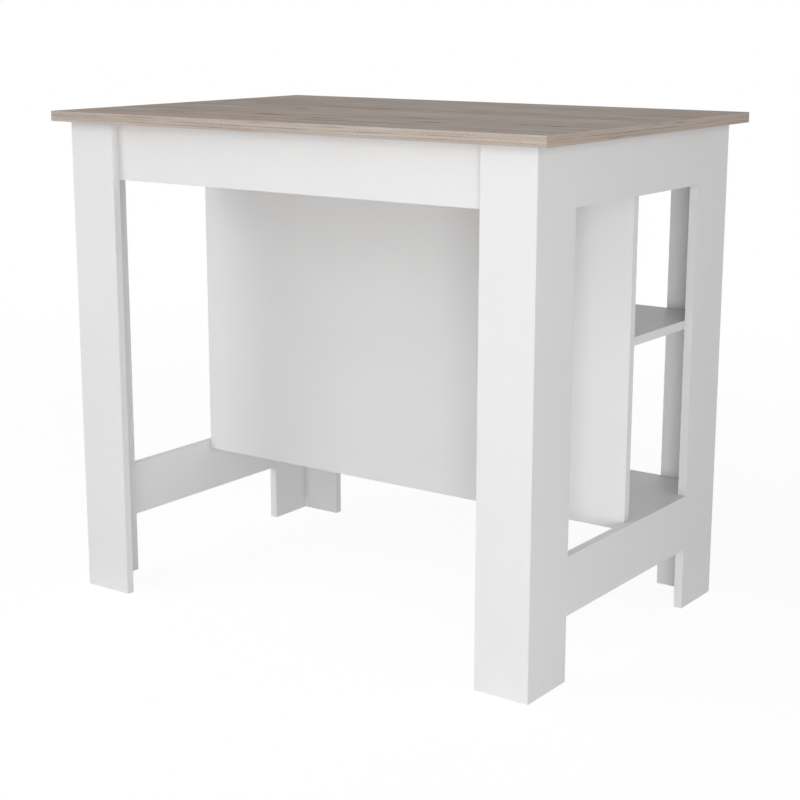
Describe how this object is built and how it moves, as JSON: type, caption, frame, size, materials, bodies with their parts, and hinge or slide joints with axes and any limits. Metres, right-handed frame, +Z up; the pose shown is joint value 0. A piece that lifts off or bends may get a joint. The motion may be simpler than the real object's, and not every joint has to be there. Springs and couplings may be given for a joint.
{
  "type": "kitchen island",
  "caption": "Counter-height kitchen island: oak-look worktop on a white board carcass with open end frames, knee space in front and open shelves behind a divider.",
  "frame": {"origin": "on the floor, under the middle of the island", "axes": "+X along the worktop to the right as seen from the knee side, +Y from the knee side to the shelf side, +Z up"},
  "size_m": [1.02, 0.694, 0.885],
  "materials": {
    "white_board": "white melamine-faced particle board",
    "white_edge_band": "white edge banding",
    "oak_board": "grey-brown oak melamine-faced board",
    "oak_edge_band": "wood-grain edge banding",
    "zinc_cam": "die-cast zinc",
    "plated_steel": "zinc-plated steel",
    "beech_dowel": "raw beech"
  },
  "bodies": {
    "root": {"left_end_frame": "white_board", "right_end_frame": "white_board", "front_left_leg_board": "white_board", "front_right_leg_board": "white_board", "back_left_leg_board": "white_board", "back_right_leg_board": "white_board", "front_apron": "white_board", "back_apron": "white_board", "divider_panel": "white_board", "middle_shelf": "white_board", "bottom_shelf": "white_board", "left_end_frame_edge_bands": "white_edge_band", "right_end_frame_edge_bands": "white_edge_band", "front_left_leg_board_edge_bands": "white_edge_band", "front_right_leg_board_edge_bands": "white_edge_band", "back_left_leg_board_edge_bands": "white_edge_band", "back_right_leg_board_edge_bands": "white_edge_band", "front_apron_edge_band": "white_edge_band", "back_apron_edge_band": "white_edge_band", "divider_edge_bands": "white_edge_band", "middle_shelf_edge_bands": "white_edge_band", "bottom_shelf_edge_bands": "white_edge_band", "worktop_board": "oak_board", "worktop_front_edge_band": "oak_edge_band", "worktop_back_edge_band": "oak_edge_band", "worktop_left_edge_band": "oak_edge_band", "worktop_right_edge_band": "oak_edge_band", "leg_board_cam_locks": "zinc_cam", "apron_cam_locks": "zinc_cam", "worktop_cam_locks": "zinc_cam", "divider_cam_locks": "zinc_cam", "shelf_end_cam_locks": "zinc_cam", "shelf_to_divider_cam_locks": "zinc_cam", "leg_board_cam_bolts": "plated_steel", "apron_cam_bolts": "plated_steel", "worktop_cam_bolts": "plated_steel", "divider_cam_bolts": "plated_steel", "shelf_end_cam_bolts": "plated_steel", "shelf_to_divider_cam_bolts": "plated_steel", "apron_screws": "plated_steel", "leg_board_dowels": "beech_dowel", "apron_dowels": "beech_dowel", "worktop_dowels": "beech_dowel", "divider_dowels": "beech_dowel", "shelf_end_dowels": "beech_dowel", "shelf_to_divider_dowels": "beech_dowel"}
  },
  "joints": []
}
